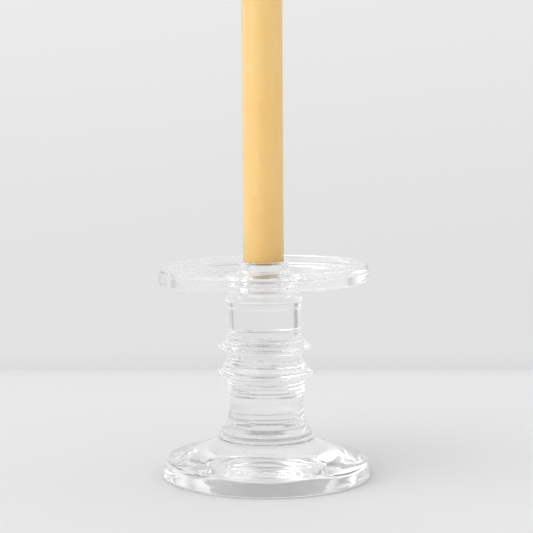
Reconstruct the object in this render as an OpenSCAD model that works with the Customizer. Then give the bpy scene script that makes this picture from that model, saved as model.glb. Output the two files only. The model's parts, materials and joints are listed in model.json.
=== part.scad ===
// Clear glass candlestick with a dished drip plate, a turned stem and a taper candle.
// Millimetres. +Z is up, and the origin is on the table under the middle of the foot.

/* [Overall] */
// Widest diameter of the foot
foot_d = 114.8; // [100:0.2:124]
// Widest diameter of the drip plate
plate_d = 114.6; // [100:0.2:124]
// Diameter of the plain column at the bottom of the stem
lower_column_d = 40.4; // [38:0.1:42]
// Diameter of the plain column at the top of the stem
upper_column_d = 41.4; // [38:0.1:42]

/* [Heights of the joins, up from the table] */
// Top of the cone of the foot
foot_top_z = 20.6; // [19.8:0.1:21.8]
// Top of the stepped collar
foot_collar_top_z = 33.9; // [33:0.1:35]
// Top of the lower column
lower_column_top_z = 46.9; // [45.6:0.1:48]
// Top of the ribbed collar
ribbed_collar_top_z = 54.9; // [54:0.1:56]
// Top of the lower ring
lower_ring_top_z = 62.4; // [61.8:0.1:63.2]
// Top of the waist between the rings
waist_top_z = 68.1; // [67.4:0.1:68.8]
// Top of the upper ring
upper_ring_top_z = 75.5; // [74.8:0.1:76.2]
// Top of the bead collar
bead_collar_top_z = 78.3; // [77.4:0.1:80]
// Top of the upper column, where the shoulder and the socket start
upper_column_top_z = 91.8; // [89.8:0.1:92.4]
// Top of the rounded shoulder
shoulder_top_z = 98.4; // [97.3:0.1:99.8]
// Underside of the drip plate
plate_bottom_z = 106.3; // [105:0.1:107.4]
// Floor of the dish in the drip plate
dish_floor_z = 111.3; // [110.2:0.1:111.8]
// Top of the plate's raised rim
plate_top_z = 116.1; // [115.4:0.1:117]
// Top of the socket, where the candle stands in its recess
lip_top_z = 118.1; // [117.6:0.1:119]

/* [Rings, steps and ribs] */
// Widest diameter of the lower ring
lower_ring_d = 55; // [50:0.2:58]
// Widest diameter of the upper ring
upper_ring_d = 52.2; // [48:0.2:56]
// Diameters of the collar steps, from the lowest step up
collar_step_d = [53.2, 50.4, 44.8, 42.2];
// Height of each collar step, as parts of the whole
collar_step_share = [2.2, 3.1, 3.5, 4.5];
// Diameter over the ribs of the stem
rib_d = 42.4; // [41:0.1:44]
// Depth of the grooves between the ribs
rib_groove = 0.55; // [0.2:0.05:1]

/* [Candle socket] */
// Diameter of the recess that takes the foot of a standard 22 mm taper
recess_d = 22.8; // [22.6:0.1:23.4]
// Outside diameter of the socket tube, seen as the neck under the plate
socket_d = 26.6; // [26:0.1:28]
// Height of the ledge that the candle stands on
ledge_z = 116.3; // [115.2:0.1:116.8]
// Diameter of the empty bore below the ledge
bore_d = 19.4; // [17:0.2:20]
// Height of the floor of that bore
bore_floor_z = 100.9; // [99.4:0.1:102]

/* [Candle] */
// Diameter of the straight body of the candle
candle_d = 22.2; // [21.6:0.1:22.4]
// Length of the wax, 8 inches
candle_l = 203; // [150:1:254]
// Length of the pointed tip
candle_tip_l = 34; // [20:1:50]
// Diameter of the wick
wick_d = 2; // [1.6:0.1:2.4]
// How far the wick stands out of the wax
wick_out = 9; // [4:0.5:14]

/* [Hidden] */
$fn = 96;
rounding = 8; // straight pieces that make up one round corner
foot_r = foot_d / 2;
plate_r = plate_d / 2;
foot_corner_r = 1.2; // small round at the lower edge of the foot
foot_rest_r = foot_r - foot_corner_r; // outer edge of the flat that stands on the table
foot_edge_r = 4.6; // large round between the side of the foot and its cone
foot_lean = 1.9; // how far the side of the foot leans in towards its top
plate_low_corner_r = 2.2; // round lower edge of the plate
plate_top_corner_r = 3.4; // larger round of its upper edge
plate_lean = 1; // how far the side of the plate leans in towards its top
rim_inner_r = plate_r - 7.3; // inner edge of the rim's top
dish_r = plate_r - 11; // foot of the rim, where the floor of the dish starts
candle_top_z = ledge_z + candle_l;
glass_clear = [0.86, 0.91, 0.92, 0.45];
wax_yellow = [0.96, 0.82, 0.55];
wick_white = [0.93, 0.9, 0.82];

// Points of an arc of radius r about (cx, cz), from angle a0 to angle a1.
function arc(cx, cz, r, a0, a1) = [
    for (i = [0 : rounding])
        let (a = a0 + (a1 - a0) * i / rounding)
        [cx + r * cos(a), cz + r * sin(a)]
];

// Half outline of a stack of ribs: each rib swells to r_out and drops by groove at its joins.
function rib_stack(r_out, groove, z0, z1, count) = [
    for (i = [0 : count * rounding])
        let (t = i / rounding)
        [r_out - groove * (1 - sqrt(abs(sin(180 * t)))), z0 + (z1 - z0) * t / count]
];

// Sum of the first n entries of a list.
function sum_to(list, n) = n == 0 ? 0 : list[n - 1] + sum_to(list, n - 1);

// Turned solid from the outer points of its half outline, closed to the axis.
module turned(points) {
    rotate_extrude()
        polygon(concat(points, [[0, points[len(points) - 1][1]], [0, points[0][1]]]));
}

// Turned ring whose bore is a plain cylinder of radius bore_r.
module turned_ring(points, bore_r) {
    rotate_extrude()
        polygon(concat(points,
            [[bore_r, points[len(points) - 1][1]], [bore_r, points[0][1]]]));
}

// Wide foot: a flat base, a side that leans in, a large rounded edge and a low cone.
module foot() {
    edge = [foot_r - foot_lean - 3.9, foot_top_z - 14.5];
    color(glass_clear)
        turned(concat(
            arc(foot_rest_r, foot_corner_r, foot_corner_r, -90, 12),
            arc(edge[0], edge[1], foot_edge_r, 12, 74),
            [[40, foot_top_z - 6.3], [31.5, foot_top_z - 2.4], [28, foot_top_z - 0.9],
                [collar_step_d[0] / 2, foot_top_z]]));
}

// Collar of rounded steps that takes the cone of the foot up to the lower column.
module foot_collar() {
    step_unit = (foot_collar_top_z - foot_top_z) / sum_to(collar_step_share, 4);
    edge = 1;
    color(glass_clear)
        turned([
            for (i = [0 : 3])
                let (
                    z0 = foot_top_z + step_unit * sum_to(collar_step_share, i),
                    z1 = foot_top_z + step_unit * sum_to(collar_step_share, i + 1),
                    r = collar_step_d[i] / 2
                )
                each concat([[r - 0.5, z0], [r, z0 + 0.6]], arc(r - edge, z1 - edge, edge, 0, 90))
        ]);
}

// Plain lower column, slightly drawn in at its top.
module lower_column() {
    r = lower_column_d / 2;
    neck = 0.9;
    color(glass_clear)
        turned(concat(
            [[r - 0.1, foot_collar_top_z], [r, foot_collar_top_z + 4]],
            arc(r - 3, lower_column_top_z - 3, 3, 12, 48),
            [[r - neck, lower_column_top_z]]));
}

// Collar of fine ribs under the lower ring.
module ribbed_collar() {
    color(glass_clear)
        turned(rib_stack(rib_d / 2, rib_groove, lower_column_top_z, ribbed_collar_top_z, 4));
}

// Sharp-edged ring drawn out of the stem: flat below, sloping above.
module edge_ring(r_out, r_low, r_high, z0, z_edge, z1) {
    lip = 0.9;
    turned(concat(
        [[r_low, z0]],
        arc(r_out - lip, z_edge, lip, -70, 60),
        [[(r_out + r_high) / 2 - 0.8, (z_edge + z1) / 2], [r_high, z1]]));
}

module lower_ring() {
    color(glass_clear)
        edge_ring(lower_ring_d / 2, rib_d / 2, rib_d / 2 + 0.2,
            ribbed_collar_top_z, ribbed_collar_top_z + 2.1, lower_ring_top_z);
}

// Fine ribs between the two rings.
module waist() {
    color(glass_clear)
        turned(rib_stack(rib_d / 2, rib_groove, lower_ring_top_z, waist_top_z, 3));
}

module upper_ring() {
    color(glass_clear)
        edge_ring(upper_ring_d / 2, rib_d / 2, rib_d / 2, waist_top_z, waist_top_z + 3.7,
            upper_ring_top_z);
}

// Low bead over the upper ring.
module bead_collar() {
    color(glass_clear)
        turned(rib_stack(rib_d / 2 - 0.2, rib_groove, upper_ring_top_z, bead_collar_top_z, 1));
}

// Plain upper column.
module upper_column() {
    r = upper_column_d / 2;
    color(glass_clear)
        turned([[r - 0.2, bead_collar_top_z], [r, bead_collar_top_z + 1],
            [r, upper_column_top_z]]);
}

// Rounded shoulder round the root of the socket.
module shoulder() {
    r = upper_column_d / 2;
    swell = 0.6;
    edge = 3.2;
    color(glass_clear)
        turned_ring(concat(
            [[r, upper_column_top_z], [r, upper_column_top_z + 1.4]],
            arc(r + swell - edge, shoulder_top_z - edge, edge, 0, 75),
            [[socket_d / 2 + 1.4, shoulder_top_z], [socket_d / 2, shoulder_top_z + 1.2]]),
            socket_d / 2);
}

// Socket tube: it stands up out of the plate as a collar, with a recess and a ledge for
// the candle's foot and an empty round-bottomed bore below.
module candle_socket() {
    lip = 0.9;
    r = bore_d / 2;
    round_r = 3;
    color(glass_clear)
        difference() {
            turned(concat(
                [[socket_d / 2, upper_column_top_z]],
                arc(socket_d / 2 - lip, lip_top_z - lip, lip, 0, 90)));
            translate([0, 0, ledge_z])
                cylinder(d = recess_d, h = candle_l);
            turned(concat(
                [[0, bore_floor_z]],
                arc(r - round_r, bore_floor_z + round_r, round_r, -90, 0),
                [[r, candle_l]]));
        }
}

// Floor of the drip plate, fused round the socket.
module drip_plate() {
    color(glass_clear)
        turned_ring([
            [socket_d / 2, plate_bottom_z - 1.2], [socket_d / 2 + 2, plate_bottom_z],
            [dish_r, plate_bottom_z], [dish_r, dish_floor_z],
            [socket_d / 2 + 1.6, dish_floor_z], [socket_d / 2, dish_floor_z + 1.6]],
            socket_d / 2);
}

// Raised rim round the dish, with rounded edges and a sloping inner side.
module plate_rim() {
    top_r = plate_r - plate_lean;
    color(glass_clear)
        turned_ring(concat(
            [[dish_r, plate_bottom_z]],
            arc(plate_r - plate_low_corner_r, plate_bottom_z + plate_low_corner_r,
                plate_low_corner_r, -90, 5),
            arc(top_r - plate_top_corner_r, plate_top_z - plate_top_corner_r,
                plate_top_corner_r, 5, 90),
            arc(rim_inner_r + 1.6, plate_top_z - 1.6, 1.6, 90, 140),
            [[dish_r + 1.2, dish_floor_z + 0.5], [dish_r, dish_floor_z]]),
            dish_r);
}

// Taper candle: straight body and a pointed tip, bored for the wick.
module candle_wax() {
    r = candle_d / 2;
    tip_r = wick_d / 2 + 0.8;
    tip_base_z = candle_top_z - candle_tip_l;
    color(wax_yellow)
        turned_ring(concat(
            [[r - 0.8, ledge_z], [r - 0.1, ledge_z + 0.7], [r, lip_top_z + 4]],
            [for (i = [0 : rounding])
                let (a = 90 * i / rounding)
                [tip_r + (r - tip_r) * cos(a), tip_base_z + candle_tip_l * sin(a)]]),
            wick_d / 2);
}

// Wick, right through the candle.
module candle_wick() {
    color(wick_white)
        translate([0, 0, ledge_z])
            cylinder(d = wick_d, h = candle_l + wick_out);
}

foot();
foot_collar();
lower_column();
ribbed_collar();
lower_ring();
waist();
upper_ring();
bead_collar();
upper_column();
shoulder();
candle_socket();
drip_plate();
plate_rim();
candle_wax();
candle_wick();
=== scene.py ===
"""Clear glass candlestick with a taper candle: the looks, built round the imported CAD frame."""

import json
import math

import bmesh
import bpy
import numpy as np
from mathutils import Matrix, Vector, noise


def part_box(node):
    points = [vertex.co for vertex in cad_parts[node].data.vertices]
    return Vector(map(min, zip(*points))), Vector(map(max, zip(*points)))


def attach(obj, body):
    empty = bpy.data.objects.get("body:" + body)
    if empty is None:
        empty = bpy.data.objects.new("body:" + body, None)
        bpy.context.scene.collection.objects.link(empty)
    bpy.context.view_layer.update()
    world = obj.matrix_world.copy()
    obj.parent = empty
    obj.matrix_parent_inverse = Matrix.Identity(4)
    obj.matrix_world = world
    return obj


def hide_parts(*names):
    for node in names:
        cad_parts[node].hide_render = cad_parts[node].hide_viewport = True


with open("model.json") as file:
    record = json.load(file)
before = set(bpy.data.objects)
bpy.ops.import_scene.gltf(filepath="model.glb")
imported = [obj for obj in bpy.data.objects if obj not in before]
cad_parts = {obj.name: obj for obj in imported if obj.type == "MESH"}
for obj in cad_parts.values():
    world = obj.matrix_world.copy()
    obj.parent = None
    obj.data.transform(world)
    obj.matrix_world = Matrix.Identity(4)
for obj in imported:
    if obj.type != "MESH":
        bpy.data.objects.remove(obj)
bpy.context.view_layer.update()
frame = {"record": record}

MM = 0.001

# ---------------------------------------------------------------- mesh fineness
FINEST_TURN = math.radians(15)  # most that an outline turns at one point of a fillet
GLASS_SEGMENTS = 168
GLASS_STEP = 1.3  # longest piece of the glass outline, in millimetres
CANDLE_SEGMENTS = 96
CANDLE_STEP = 2.0
TIP_POINTS = 12

# ---------------------------------------------------------------- glass shape, in millimetres
RINGED_DROP = 0.2  # the ringed part starts this much lower than the CAD's
SHOULDER_CLIMB = 1.2  # how far the CAD's shoulder climbs up the neck at its inner edge
FLOOR_CLIMB = 1.6  # how far the CAD's dish floor climbs up the socket
BORE_DEPTH = 15.4  # the empty bore under the candle
COLLAR_RADII = (26.4, 25.2, 22.4, 21.1)  # three steps over the foot, and the flare above them
COLLAR_SHARES = (2.2, 3.1, 3.5, 4.5)  # how the collar's height is shared out between them
GROOVE_DROP = 3.5  # from the top of the rim down to the fine groove round it
PLATE_RISE = 0.3
LEAN_X = -1.45  # how far the plate has drifted to the left of the foot
PLATE_TILT = 0.018  # the plate's rise for each millimetre to the right
LONG_WAVE = 0.2  # slow swell of the hand-worked surface
SHORT_WAVE = 0.04
FACE_WAVE = 0.3  # slow rise and fall of the foot's and the plate's wide faces
RIPPLE = 0.11  # height of the tool marks on those faces

# ---------------------------------------------------------------- candle shape, in millimetres
TIP_LENGTH = 34
TIP_FLAT = 1.8  # radius of the blunt end of the tip
CANDLE_SHIFT = -1.6  # the candle stands this far to the left
CANDLE_LEAN = math.radians(-0.4)
BRAID_PITCH = 4.6
BRAID_ROOT = 3.0  # how deep the braid starts inside the wax
WICK_BEND = 1.1
YARN_POINTS = 72
CORE_POINTS = 12

# ---------------------------------------------------------------- colours
GLASS_WARM = (0.972, 0.968, 0.968)
GLASS_COOL = (0.955, 0.96, 0.962)
WAX_MAIN = (1.0, 0.64, 0.2)
WAX_DEEP = (0.995, 0.595, 0.165)
WAX_PALE = (1.0, 0.75, 0.35)
# Painted shade: the colour of the gaps between fibres, at the low points of the same noise that makes
# the bump
YARN_PAINTED_SHADE = (0.62, 0.54, 0.4)
YARN_PALE = (0.9, 0.86, 0.75)

# ---------------------------------------------------------------- camera
CAMERA_DISTANCE = 888.6 * MM
CAMERA_HEIGHT = 207.8 * MM
CAMERA_PITCH = math.radians(5.965)
CAMERA_LENS = 110.97  # on Blender's 36 mm sensor

# ---------------------------------------------------------------- table
TABLE_DEPTH = 344 * MM  # how far the table runs behind the object
TABLE_HALF_WIDTH = 1500 * MM
TABLE_FRONT = -1600 * MM
TABLE_GAP = 0.1 * MM  # thin film of air under the foot, as on a real table
TABLE_WHITE = 0.82
# Painted shade: the table's colour darkens towards its far edge, as a soft shadow there: from how far
# before the edge, and the factor at the edge
PAINTED_FAR_SHADES = ((130 * MM, 0.98), (35 * MM, 0.94))
# Painted light: a paler disc with a soft edge painted on the table under the foot, for the light that
# the glass gathers there
PAINTED_FOOT_LIGHT = 1.21
PAINTED_FOOT_LIGHT_INNER = 49 * MM
PAINTED_FOOT_LIGHT_OUTER = 56 * MM

# ---------------------------------------------------------------- studio light
X, Y, Z = range(3)
# Brightness by direction: the axis, the stretch where it changes, and the factor before and after
STUDIO_TONES = (
    (Z, -0.12, 0.10, 0.76, 0.83),  # the wall brightens upwards
    (Z, -0.168, -0.150, 0.94, 1.0),  # and is darker just over the table's far edge
    (X, -0.25, 0.25, 1.015, 0.99),  # its left is a little brighter than its right
    (Y, -0.97, -0.7, 0.3, 1.0),  # the room behind the camera is dark
    (Z, 0.25, 0.6, 1.0, 0.98),  # ceiling
    (Z, 0.75, 0.9, 1.0, 0.5),  # straight overhead
)
# Soft windows: the way to each, its inner and outer half angle in degrees, and its brightness
WINDOWS = (
    ((-0.62, -0.4, 0.68), 8, 42, 1.3),
    ((0.6, 0.2, 0.75), 8, 40, 0.2),
    ((-0.2, -0.8, 0.55), 8, 60, 0.35),
    ((-0.88, 0.42, 0.2), 5, 26, 0.6),
)
# Darker corners of the room: x from, x to, how much
GAPS = ((-0.78, -0.64, 0.4), (0.68, 0.76, 0.3))
GAP_EDGE = 0.04
LIGHT_BOUNCES = 128  # thin glass edges look black with fewer


# ---------------------------------------------------------------- outline helpers
def unit(v):
    return v / np.linalg.norm(v)


def rounded(corners):
    """A smooth outline from corner points (r, z, fillet radius), in millimetres."""
    points = []
    for i, (r, z, fillet) in enumerate(corners):
        here = np.array([r, z], float)
        if fillet <= 0 or i in (0, len(corners) - 1):
            points.append(here)
            continue
        before = np.array(corners[i - 1][:2], float) - here
        after = np.array(corners[i + 1][:2], float) - here
        half = math.acos(np.clip(np.dot(unit(before), unit(after)), -1, 1)) / 2
        if half > math.radians(89):
            points.append(here)
            continue
        room = 0.49 * min(np.linalg.norm(before), np.linalg.norm(after))
        radius_here = min(fillet, room * math.tan(half))
        centre = here + unit(unit(before) + unit(after)) * radius_here / math.sin(half)
        start = here + unit(before) * radius_here / math.tan(half) - centre
        end = here + unit(after) * radius_here / math.tan(half) - centre
        a0, a1 = math.atan2(start[1], start[0]), math.atan2(end[1], end[0])
        turn = (a1 - a0 + math.pi) % (2 * math.pi) - math.pi
        steps = max(3, math.ceil(abs(turn) / FINEST_TURN))
        for k in range(steps + 1):
            angle = a0 + turn * k / steps
            points.append(centre + radius_here * np.array([math.cos(angle), math.sin(angle)]))
    return np.array(points)


def resampled(points, step):
    """The same outline with no segment longer than step."""
    out = [points[0]]
    for a, b in zip(points[:-1], points[1:]):
        n = max(1, math.ceil(np.linalg.norm(b - a) / step))
        out += [a + (b - a) * (k + 1) / n for k in range(n)]
    return np.array(out)


def turned_mesh(name, outline, segments):
    """A closed turned mesh from an outline whose two ends lie on the axis, in millimetres."""
    bm = bmesh.new()
    first = bm.verts.new((0, 0, outline[0][1]))
    last = bm.verts.new((0, 0, outline[-1][1]))
    rings = []
    for r, z in outline[1:-1]:
        rings.append([
            bm.verts.new((
                r * math.cos(2 * math.pi * k / segments),
                r * math.sin(2 * math.pi * k / segments),
                z,
            ))
            for k in range(segments)
        ])
    for k in range(segments):
        n = (k + 1) % segments
        bm.faces.new((first, rings[0][n], rings[0][k]))
        bm.faces.new((last, rings[-1][k], rings[-1][n]))
        for low, high in zip(rings[:-1], rings[1:]):
            bm.faces.new((low[k], low[n], high[n], high[k]))
    bmesh.ops.recalc_face_normals(bm, faces=bm.faces)
    for f in bm.faces:
        f.smooth = True
    mesh = bpy.data.meshes.new(name)
    bm.to_mesh(mesh)
    bm.free()
    return mesh


def place(name, mesh, material):
    obj = bpy.data.objects.new(name, mesh)
    bpy.context.scene.collection.objects.link(obj)
    mesh.materials.append(material)
    return obj


def smooth_step(a, b, x):
    t = np.clip((x - a) / (b - a), 0, 1)
    return t * t * (3 - 2 * t)


# ---------------------------------------------------------------- sizes from the frame
def top(node):
    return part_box(node)[1].z / MM


def bottom(node):
    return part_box(node)[0].z / MM


def radius(node):
    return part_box(node)[1].x / MM


def under_plate():
    """The visual plate's underside, which the photo shows a little higher than the CAD's."""
    return bottom("plate_rim") + PLATE_RISE


# ---------------------------------------------------------------- materials
def new_material(name):
    material = bpy.data.materials.new(name)
    material.use_nodes = True
    nodes = material.node_tree.nodes
    return material, nodes, material.node_tree.links, nodes["Principled BSDF"]


def noise_value(nodes, links, place_socket, scale, detail, stretch=(1, 1, 1), roughness=0.5):
    """Smooth noise from 0 to 1 over the object, optionally stretched along an axis."""
    mapping = nodes.new("ShaderNodeMapping")
    mapping.inputs["Scale"].default_value = stretch
    links.new(place_socket, mapping.inputs["Vector"])
    node = nodes.new("ShaderNodeTexNoise")
    node.inputs["Scale"].default_value = scale
    node.inputs["Detail"].default_value = detail
    node.inputs["Roughness"].default_value = roughness
    links.new(mapping.outputs[0], node.inputs["Vector"])
    return node.outputs["Fac"]


def ramp(nodes, links, source, low, high, value_low, value_high):
    """A smooth change from value_low to value_high as source goes from low to high."""
    node = nodes.new("ShaderNodeMapRange")
    node.interpolation_type = "SMOOTHSTEP"
    node.inputs["From Min"].default_value = low
    node.inputs["From Max"].default_value = high
    node.inputs["To Min"].default_value = value_low
    node.inputs["To Max"].default_value = value_high
    links.new(source, node.inputs["Value"])
    return node.outputs["Result"]


def arithmetic(nodes, links, operation, a, b):
    """The product or sum of two values; b is a socket or a plain number."""
    node = nodes.new("ShaderNodeMath")
    node.operation = operation
    links.new(a, node.inputs[0])
    if isinstance(b, float):
        node.inputs[1].default_value = b
    else:
        links.new(b, node.inputs[1])
    return node.outputs[0]


def colour_mix(nodes, links, factor, first, second):
    """A blend of two colours, or of an earlier blend and a colour."""
    node = nodes.new("ShaderNodeMix")
    node.data_type = "RGBA"
    links.new(factor, node.inputs["Factor"])
    for socket, colour in ((node.inputs[6], first), (node.inputs[7], second)):
        if isinstance(colour, tuple):
            socket.default_value = colour + (1,)
        else:
            links.new(colour, socket)
    return node.outputs[2]


def add_bump(nodes, links, shader, height, distance, below=None):
    """Relief of the given depth in metres, over an earlier bump if there is one."""
    node = nodes.new("ShaderNodeBump")
    node.inputs["Strength"].default_value = 1.0
    node.inputs["Distance"].default_value = distance
    links.new(height, node.inputs["Height"])
    if below is not None:
        links.new(below, node.inputs["Normal"])
    links.new(node.outputs[0], shader.inputs["Normal"])
    return node.outputs[0]


def glass_material():
    """Fire-polished clear glass: a trace of tint, and the faint waves that the tools leave."""
    material, nodes, links, shader = new_material("clear_glass")
    place_socket = nodes.new("ShaderNodeTexCoord").outputs["Object"]
    cords = noise_value(nodes, links, place_socket, 55, 3, (1, 1, 0.45))
    share = ramp(nodes, links, cords, 0.3, 0.7, 0, 1)
    tint = colour_mix(nodes, links, share, GLASS_WARM, GLASS_COOL)
    links.new(tint, shader.inputs["Base Color"])
    wear = noise_value(nodes, links, place_socket, 140, 4)
    links.new(ramp(nodes, links, wear, 0.5, 0.8, 0.0, 0.006), shader.inputs["Roughness"])
    shader.inputs["IOR"].default_value = 1.51
    shader.inputs["Transmission Weight"].default_value = 1.0
    waves = noise_value(nodes, links, place_socket, 38, 1, (1, 1, 1.6))
    add_bump(nodes, links, shader, waves, 0.00007)
    return material


def wax_material():
    """Cast beeswax-coloured wax: soft mottling, a pale bloom, and a satin skin with faint draw marks."""
    material, nodes, links, shader = new_material("wax")
    place_socket = nodes.new("ShaderNodeTexCoord").outputs["Object"]
    mottle = noise_value(nodes, links, place_socket, 60, 4, (1, 1, 0.35))
    bloom = noise_value(nodes, links, place_socket, 240, 5, (1, 1, 0.5), 0.6)
    base = colour_mix(nodes, links, ramp(nodes, links, mottle, 0.3, 0.7, 0, 1), WAX_DEEP, WAX_MAIN)
    base = colour_mix(nodes, links, ramp(nodes, links, bloom, 0.52, 0.75, 0, 0.35), base, WAX_PALE)
    links.new(base, shader.inputs["Base Color"])
    links.new(ramp(nodes, links, bloom, 0.3, 0.7, 0.36, 0.46), shader.inputs["Roughness"])
    shader.inputs["Specular IOR Level"].default_value = 0.8
    shader.inputs["Subsurface Weight"].default_value = 0.5
    shader.inputs["Subsurface Radius"].default_value = (1.0, 0.6, 0.3)
    shader.inputs["Subsurface Scale"].default_value = 0.003
    shader.inputs["Coat Weight"].default_value = 1.0
    shader.inputs["Coat Roughness"].default_value = 0.42
    shader.inputs["Coat IOR"].default_value = 1.6
    marks = noise_value(nodes, links, place_socket, 420, 2, (1, 1, 0.06))
    skin = add_bump(nodes, links, shader, marks, 0.00004)
    add_bump(nodes, links, shader, bloom, 0.00005, below=skin)
    return material


def wick_material():
    """Waxed cotton: pale yarn, with painted shade in the gaps between fibres."""
    material, nodes, links, shader = new_material("wick")
    place_socket = nodes.new("ShaderNodeTexCoord").outputs["Object"]
    fibres = noise_value(nodes, links, place_socket, 2600, 3, (1, 1, 0.25))
    # Painted shade: darker where the fibres' bump is low
    share = ramp(nodes, links, fibres, 0.35, 0.65, 0, 1)
    base = colour_mix(nodes, links, share, YARN_PAINTED_SHADE, YARN_PALE)
    links.new(base, shader.inputs["Base Color"])
    links.new(ramp(nodes, links, fibres, 0.3, 0.7, 0.95, 0.7), shader.inputs["Roughness"])
    shader.inputs["Sheen Weight"].default_value = 0.3
    add_bump(nodes, links, shader, fibres, 0.0001)
    return material


# ---------------------------------------------------------------- the glass
# Each zone is a list of corners (r, z, fillet radius), going up the outside and down into the bore.
def foot_zone():
    r, peak = radius("foot"), top("foot")
    return [
        (0, 0, 0), (r + 0.1, 0, 1.3), (r - 1.9, peak - 10.8, 4.6),
        (44, peak - 7.9, 20), (36, peak - 4.4, 20), (30.5, peak - 1.9, 8), (28.0, peak - 0.8, 3),
    ]


def collar_zone():
    """Three rounded steps that narrow towards the column, and a flare above them."""
    low, high = top("foot"), top("foot_collar")
    shares = np.concatenate([[0], np.cumsum(COLLAR_SHARES)]) / sum(COLLAR_SHARES)
    heights = low + (high - low) * shares
    corners = []
    for i in range(3):
        r, z0, z1 = COLLAR_RADII[i], heights[i], heights[i + 1]
        next_r = COLLAR_RADII[i + 1] - 0.25
        corners += [(r, z0 + 0.3, 0.5), (r, z1 - 0.25, 1.2), (next_r, z1 - 0.05, 0.4)]
    flare_r = COLLAR_RADII[3] + 0.1
    return corners + [(flare_r, heights[3] + 0.3, 0.5), (flare_r, high - 1.5, 6)]


def lower_column_zone():
    r, low, high = radius("lower_column"), top("foot_collar"), top("lower_column") - RINGED_DROP
    return [(r, low + 4, 9), (r, high - 1.5, 0.6), (r - 1.0, high - 0.4, 0.3)]


def ribs(r, groove, low, high, count):
    """A row of fine ribs with narrow grooves between them."""
    corners = []
    pitch = (high - low) / count
    for i in range(count):
        z = low + i * pitch
        corners += [(r, z + pitch * 0.22, 0.5), (r, z + pitch * 0.78, 0.5)]
        if i < count - 1:
            corners.append((r - groove, z + pitch, 0.3))
    return corners


def ringed_zone():
    """A bead and ribs, the lower ring, the ribbed waist, the upper ring and a bead."""
    r = radius("ribbed_collar")
    start, ribs_top = top("lower_column") - RINGED_DROP, top("ribbed_collar")
    low_r, low_top = radius("lower_ring"), top("lower_ring")
    up_r, up_top = radius("upper_ring"), top("upper_ring")
    waist_top, bead_top = top("waist"), top("bead_collar")
    low_bead = [(r + 0.2, start, 0.2), (r + 0.3, start + 0.9, 0.5), (r - 0.5, start + 1.6, 0.3)]
    low_ring = [
        (r - 0.2, ribs_top, 0.4), (23.2, ribs_top + 0.9, 3), (low_r - 0.2, ribs_top + 1.5, 0.35),
        (low_r - 0.4, ribs_top + 2.2, 0.35), (24.4, ribs_top + 3.6, 4),
        (22.6, low_top - 0.3, 0.8), (r - 0.2, low_top, 0.3),
    ]
    up_ring = [
        (r - 0.2, waist_top, 0.4), (23.0, waist_top + 2.0, 3), (up_r - 0.1, waist_top + 2.9, 0.35),
        (up_r - 0.3, waist_top + 3.5, 0.35), (23.0, waist_top + 4.9, 4),
        (21.8, up_top - 0.2, 0.6), (r - 0.3, up_top, 0.3),
    ]
    up_bead = [(r - 0.3, up_top + 0.4, 0.4), (r - 0.3, bead_top - 0.5, 0.8)]
    return (
        low_bead + ribs(r, 0.5, start + 1.7, ribs_top, 3) + low_ring
        + ribs(r - 0.2, 0.35, low_top, waist_top, 3) + up_ring + up_bead
    )


def upper_column_zone():
    """The plain column, its shoulder, and the neck under the plate."""
    r, start = radius("upper_column") - 0.1, top("bead_collar")
    shoulder_r, neck_r = radius("shoulder"), radius("candle_socket")
    low, high = bottom("shoulder"), top("shoulder") - SHOULDER_CLIMB
    return [
        (r - 1.0, start, 0.3), (r, start + 0.9, 0.5), (r, low + 1, 1),
        (shoulder_r, low + 2.4, 1), (shoulder_r, high, 3.2),
        (neck_r, high + 0.2, 3.6), (neck_r - 0.6, under_plate() - 0.1, 3),
    ]


def plate_zone():
    """The rim with its fine groove, the dish, and the collar round the socket."""
    r, high = radius("plate_rim"), top("plate_rim")
    groove_z = high - GROOVE_DROP
    floor, lip = top("drip_plate") - FLOOR_CLIMB, top("candle_socket")
    return [
        (r, under_plate(), 2.0), (r, groove_z - 0.3, 1.2), (r - 0.6, groove_z, 0.12),
        (r - 0.1, groove_z + 0.3, 1.2), (r - 1.4, high, 2.6), (49.6, high, 3.5),
        (45, floor + 0.1, 7), (14.4, floor - 0.1, 2.5), (13.3, lip, 1.2), (11.5, lip, 0.5),
    ]


def socket_zone():
    """The shallow recess that the candle stands in, and the empty bore under it."""
    ledge = bottom("candle_wax")
    floor = ledge - BORE_DEPTH
    return [(11.3, ledge, 0.4), (9.8, ledge, 0.4), (9.4, floor, 4.5), (0, floor, 0)]


def glass_outline():
    corners = (
        foot_zone() + collar_zone() + lower_column_zone() + ringed_zone()
        + upper_column_zone() + plate_zone() + socket_zone()
    )
    return resampled(rounded(corners), GLASS_STEP)


def hand_made(points):
    """Moves the points of the turned glass a little, as hand-worked glass differs from a lathe's."""
    x, y, z = points.T
    r = np.hypot(x, y)
    plate_z = top("plate_rim")
    lean = LEAN_X * smooth_step(plate_z - 87, plate_z - 13, z)
    tilt = PLATE_TILT * x * smooth_step(plate_z - 19, plate_z - 11, z)
    out = points.copy()
    for i, p in enumerate(points):
        v = Vector(p)
        if r[i] < 1e-6:
            continue
        # long waves over the whole body, and short ones on the wide faces
        long_wave = noise.noise(v * 0.045) * LONG_WAVE
        short_wave = noise.noise(v * 0.11 + Vector((7, 3, 1))) * SHORT_WAVE
        wide = smooth_step(22, 34, r[i])
        n = long_wave * (0.4 + 0.6 * wide) + short_wave * (0.15 + wide)
        inside = r[i] < 13.5 and z[i] > plate_z - 16
        if inside:
            n *= 0.2
        radial = np.array([x[i], y[i], 0]) / r[i]
        out[i] = p + radial * n * (1 - wide * 0.5)
        if wide > 0 and z[i] > 4:
            out[i, 2] += wide * noise.noise(v * 0.05 + Vector((0, 9, 4))) * FACE_WAVE
            # rings left by the paddle, which drift a little round the axis
            turn = math.atan2(y[i], x[i])
            ripple = Vector((r[i] * 0.3, math.cos(turn) * 1.6, math.sin(turn) * 1.6))
            out[i, 2] += wide * noise.noise(ripple) * RIPPLE
    out[:, 0] += lean
    out[:, 2] += tilt
    return out


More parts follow.
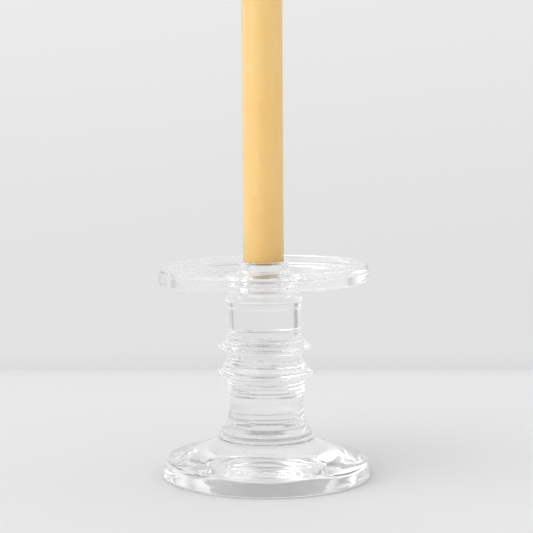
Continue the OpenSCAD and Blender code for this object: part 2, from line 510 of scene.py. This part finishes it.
def make_glass():
    mesh = turned_mesh("glass", glass_outline(), GLASS_SEGMENTS)
    count = len(mesh.vertices)
    points = np.zeros(count * 3)
    mesh.vertices.foreach_get("co", points)
    points = hand_made(points.reshape(-1, 3)) * MM
    mesh.vertices.foreach_set("co", points.ravel())
    mesh.update()
    glass = place("glass", mesh, glass_material())
    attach(glass, "candlestick")
    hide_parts(*frame["record"]["behaviour"]["bodies"]["candlestick"])


# ---------------------------------------------------------------- the candle
def candle_outline():
    base, tip = bottom("candle_wax"), top("candle_wax")
    r = radius("candle_wax")
    tip_base = tip - TIP_LENGTH
    rim = top("candle_socket")
    out = list(rounded([(0, base, 0), (r - 0.1, base, 0.9), (r, rim + 4, 0), (r, tip_base, 0)]))
    for k in range(1, TIP_POINTS + 1):
        a = math.pi / 2 * k / TIP_POINTS
        across = TIP_FLAT + (r - TIP_FLAT) * math.cos(a)
        out.append(np.array([across, tip_base + TIP_LENGTH * math.sin(a)]))
    out.append(np.array([0, tip]))
    return resampled(np.array(out), CANDLE_STEP)


def candle_stance():
    """Millimetres to metres, with the slight lean of a candle that stands loose in its socket."""
    foot = Vector((0, 0, bottom("candle_wax") * MM))
    lean = Matrix.Rotation(CANDLE_LEAN, 4, "Y")
    to_place = Matrix.Translation(foot + Vector((CANDLE_SHIFT * MM, 0, 0)))
    return to_place @ lean @ Matrix.Translation(-foot) @ Matrix.Scale(MM, 4)


def make_candle():
    mesh = turned_mesh("candle", candle_outline(), CANDLE_SEGMENTS)
    mesh.transform(candle_stance())
    wax = place("candle", mesh, wax_material())
    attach(wax, "candle")
    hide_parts("candle_wax")


def tube(bm, path, radii, sides):
    """A closed tube swept along a path of points, in millimetres."""
    rings = []
    for i, here in enumerate(path):
        along = unit(path[min(i + 1, len(path) - 1)] - path[max(i - 1, 0)])
        side = unit(np.cross(along, (0.0, 1.0, 0.0)))
        other = np.cross(along, side)
        rings.append([
            bm.verts.new(here + radii[i] * (math.cos(a) * side + math.sin(a) * other))
            for a in (2 * math.pi * k / sides for k in range(sides))
        ])
    for low, high in zip(rings[:-1], rings[1:]):
        for k in range(sides):
            n = (k + 1) % sides
            bm.faces.new((low[k], low[n], high[n], high[k]))
    bm.faces.new(rings[0])
    bm.faces.new(rings[-1])


def yarn(strand, wax_top, length, r):
    """The path and radii of one yarn of the braid, which bends over a little and frays at its end."""
    path, radii = [], []
    for k in range(YARN_POINTS + 1):
        t = k / YARN_POINTS
        phase = 2 * math.pi * (length * t / BRAID_PITCH + strand / 3)
        spread = 1 + 0.5 * smooth_step(0.9, 1.0, t)
        bend = WICK_BEND * smooth_step(0.3, 1.0, t) ** 2
        path.append(np.array([
            0.5 * r * math.sin(phase) * spread + bend,
            0.32 * r * math.sin(2 * phase) * spread - bend * 0.4,
            wax_top - BRAID_ROOT + length * t - 0.35 * (strand % 2) * t ** 6,
        ]))
        radii.append(r * (0.46 - 0.1 * smooth_step(0.94, 1.0, t)))
    return path, radii


def make_wick():
    """A flat braid of three yarns that stands out of the wax, on a core that runs down through it."""
    base, tip = bottom("candle_wick"), top("candle_wick")
    wax_top = top("candle_wax")
    r = radius("candle_wick")
    bm = bmesh.new()
    core = [np.array([0.0, 0.0, z]) for z in np.linspace(base + 0.6, wax_top - 1.0, CORE_POINTS)]
    tube(bm, core, [r * 0.9] * CORE_POINTS, 12)
    for strand in range(3):
        path, radii = yarn(strand, wax_top, tip - wax_top + BRAID_ROOT, r)
        tube(bm, path, radii, 10)
    bmesh.ops.recalc_face_normals(bm, faces=bm.faces)
    for f in bm.faces:
        f.smooth = len(f.verts) == 4
    mesh = bpy.data.meshes.new("wick")
    bm.to_mesh(mesh)
    bm.free()
    mesh.transform(candle_stance())
    wick = place("wick", mesh, wick_material())
    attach(wick, "candle")
    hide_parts("candle_wick")


# ---------------------------------------------------------------- stage, light and camera
def table_material():
    """Matt pale paint, with painted shade towards the far edge and a painted pool of light under the
    glass foot.
    """
    material, nodes, links, shader = new_material("table")
    place_socket = nodes.new("ShaderNodeTexCoord").outputs["Object"]
    split = nodes.new("ShaderNodeSeparateXYZ")
    links.new(place_socket, split.inputs[0])
    reach = nodes.new("ShaderNodeVectorMath")
    reach.operation = "LENGTH"
    links.new(place_socket, reach.inputs[0])
    foot_light_edges = (PAINTED_FOOT_LIGHT_INNER, PAINTED_FOOT_LIGHT_OUTER)
    # Painted light: the colour is paler in a soft-edged disc under the glass foot
    tone = ramp(nodes, links, reach.outputs["Value"], *foot_light_edges, TABLE_WHITE * PAINTED_FOOT_LIGHT, TABLE_WHITE)
    # Painted shade: the colour darkens towards the far edge, as a soft shadow there
    for before_edge, factor in PAINTED_FAR_SHADES:
        start = TABLE_DEPTH - before_edge
        painted_shade = ramp(nodes, links, split.outputs[Y], start, TABLE_DEPTH, 1.0, factor)
        tone = arithmetic(nodes, links, "MULTIPLY", tone, painted_shade)
    links.new(tone, shader.inputs["Base Color"])
    shader.inputs["Roughness"].default_value = 0.7
    shader.inputs["Specular IOR Level"].default_value = 0.2
    return material


def make_table():
    """A wide pale table whose back edge is a soft, straight line behind the object."""
    bm = bmesh.new()
    corners = [
        (-TABLE_HALF_WIDTH, TABLE_FRONT), (TABLE_HALF_WIDTH, TABLE_FRONT),
        (TABLE_HALF_WIDTH, TABLE_DEPTH), (-TABLE_HALF_WIDTH, TABLE_DEPTH),
    ]
    bm.faces.new([bm.verts.new((x, y, -TABLE_GAP)) for x, y in corners])
    mesh = bpy.data.meshes.new("table")
    bm.to_mesh(mesh)
    bm.free()
    table = place("table", mesh, table_material())


def corner_tone(nodes, links, axes, low, high, depth):
    """A factor that is lower in one corner of the room, behind the object."""
    past_low = ramp(nodes, links, axes[X], low - GAP_EDGE, low + GAP_EDGE, 0.0, 1.0)
    before_high = ramp(nodes, links, axes[X], high - GAP_EDGE, high + GAP_EDGE, 1.0, 0.0)
    behind = ramp(nodes, links, axes[Y], 0.0, 0.3, 0.0, -depth)
    inside = arithmetic(nodes, links, "MULTIPLY", past_low, before_high)
    gap = arithmetic(nodes, links, "MULTIPLY", inside, behind)
    return arithmetic(nodes, links, "ADD", gap, 1.0)


def window_glow(nodes, links, direction, towards, inner, outer, strength):
    """The light of a round soft window, from its inner to its outer half angle."""
    dot = nodes.new("ShaderNodeVectorMath")
    dot.operation = "DOT_PRODUCT"
    links.new(direction, dot.inputs[0])
    dot.inputs[1].default_value = Vector(towards).normalized()
    edge, core = (math.cos(math.radians(angle)) for angle in (outer, inner))
    return ramp(nodes, links, dot.outputs["Value"], edge, core, 0.0, strength)


def make_world():
    """A pale studio: a bright wall behind, soft windows, and a darker room behind the camera."""
    world = bpy.data.worlds.new("studio")
    bpy.context.scene.world = world
    world.use_nodes = True
    nodes, links = world.node_tree.nodes, world.node_tree.links
    direction = nodes.new("ShaderNodeTexCoord").outputs["Generated"]
    split = nodes.new("ShaderNodeSeparateXYZ")
    links.new(direction, split.inputs[0])
    axes = split.outputs
    tones = [ramp(nodes, links, axes[axis], *change) for axis, *change in STUDIO_TONES]
    tones += [corner_tone(nodes, links, axes, *gap) for gap in GAPS]
    total = tones[0]
    for tone in tones[1:]:
        total = arithmetic(nodes, links, "MULTIPLY", total, tone)
    for window in WINDOWS:
        glow = window_glow(nodes, links, direction, *window)
        total = arithmetic(nodes, links, "ADD", total, glow)
    links.new(total, nodes["Background"].inputs["Strength"])
    nodes["Background"].inputs["Color"].default_value = (1, 1, 1, 1)


def make_camera():
    data = bpy.data.cameras.new("camera")
    data.lens = CAMERA_LENS
    camera = bpy.data.objects.new("camera", data)
    camera.location = (0, -CAMERA_DISTANCE, CAMERA_HEIGHT)
    camera.rotation_euler = (math.pi / 2 - CAMERA_PITCH, 0, 0)
    bpy.context.scene.collection.objects.link(camera)
    bpy.context.scene.camera = camera


make_glass()
make_candle()
make_wick()
make_table()
make_world()
make_camera()

scene = bpy.context.scene
scene.view_settings.view_transform = "Standard"
scene.cycles.max_bounces = LIGHT_BOUNCES
scene.cycles.transmission_bounces = LIGHT_BOUNCES
scene.cycles.glossy_bounces = LIGHT_BOUNCES
scene.cycles.diffuse_bounces = 6
